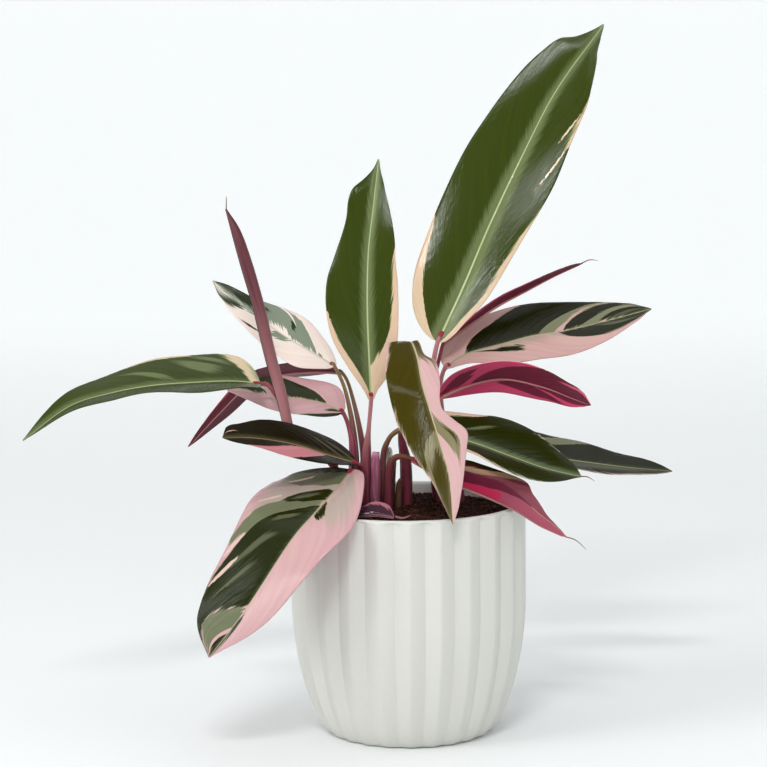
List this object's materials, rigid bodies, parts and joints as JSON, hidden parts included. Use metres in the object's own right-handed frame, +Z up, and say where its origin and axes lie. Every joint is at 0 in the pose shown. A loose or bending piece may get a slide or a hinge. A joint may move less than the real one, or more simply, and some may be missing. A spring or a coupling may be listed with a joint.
{
  "type": "potted stromanthe",
  "caption": "House plant with long oval leaves patched green, cream and pink and maroon undersides, growing as a loose clump from dark soil in a white ribbed round pot.",
  "frame": {"origin": "middle of the pot's flat underside, on the surface that the pot stands on", "axes": "+Z up; -Y is the front, where one leaf droops over the rim; +X is to the right seen from the front"},
  "size_m": [0.4535, 0.2208, 0.4933],
  "materials": {
    "pot_glaze": "satin",
    "potting_soil": "matte",
    "leaf_green": "satin",
    "leaf_pink": "satin",
    "leaf_maroon": "satin",
    "stalk": "satin",
    "dried_sheath": "matte"
  },
  "bodies": {
    "root": {"pot": "pot_glaze", "soil": "potting_soil", "leaf_tall": "leaf_green", "leaf_middle": "leaf_green", "leaf_rolled": "leaf_maroon", "leaf_pale": "leaf_pink", "leaf_far_left": "leaf_green", "leaf_pink_left": "leaf_pink", "leaf_maroon": "leaf_maroon", "leaf_dark": "leaf_green", "leaf_big": "leaf_pink", "leaf_drooping": "leaf_pink", "leaf_right_upper": "leaf_green", "leaf_magenta": "leaf_maroon", "leaf_thin": "leaf_maroon", "leaf_right_lower": "leaf_green", "leaf_far_right": "leaf_green", "leaf_folded": "leaf_maroon", "leaf_back": "leaf_green", "leaf_fallen": "leaf_maroon", "stalk_tall": "stalk", "stalk_middle": "stalk", "stalk_rolled": "stalk", "stalk_pale": "stalk", "stalk_maroon": "stalk", "stalk_far_left": "stalk", "stalk_pink_left": "stalk", "stalk_dark": "stalk", "stalk_big": "stalk", "stalk_drooping": "stalk", "stalk_right_upper": "stalk", "stalk_magenta": "stalk", "stalk_thin": "stalk", "stalk_right_lower": "stalk", "stalk_far_right": "stalk", "stalk_folded": "stalk", "stalk_back": "stalk", "stalk_fallen": "stalk", "sheath_torn": "stalk", "sheath_dried_left": "dried_sheath", "sheath_dried_right": "dried_sheath"}
  },
  "joints": []
}
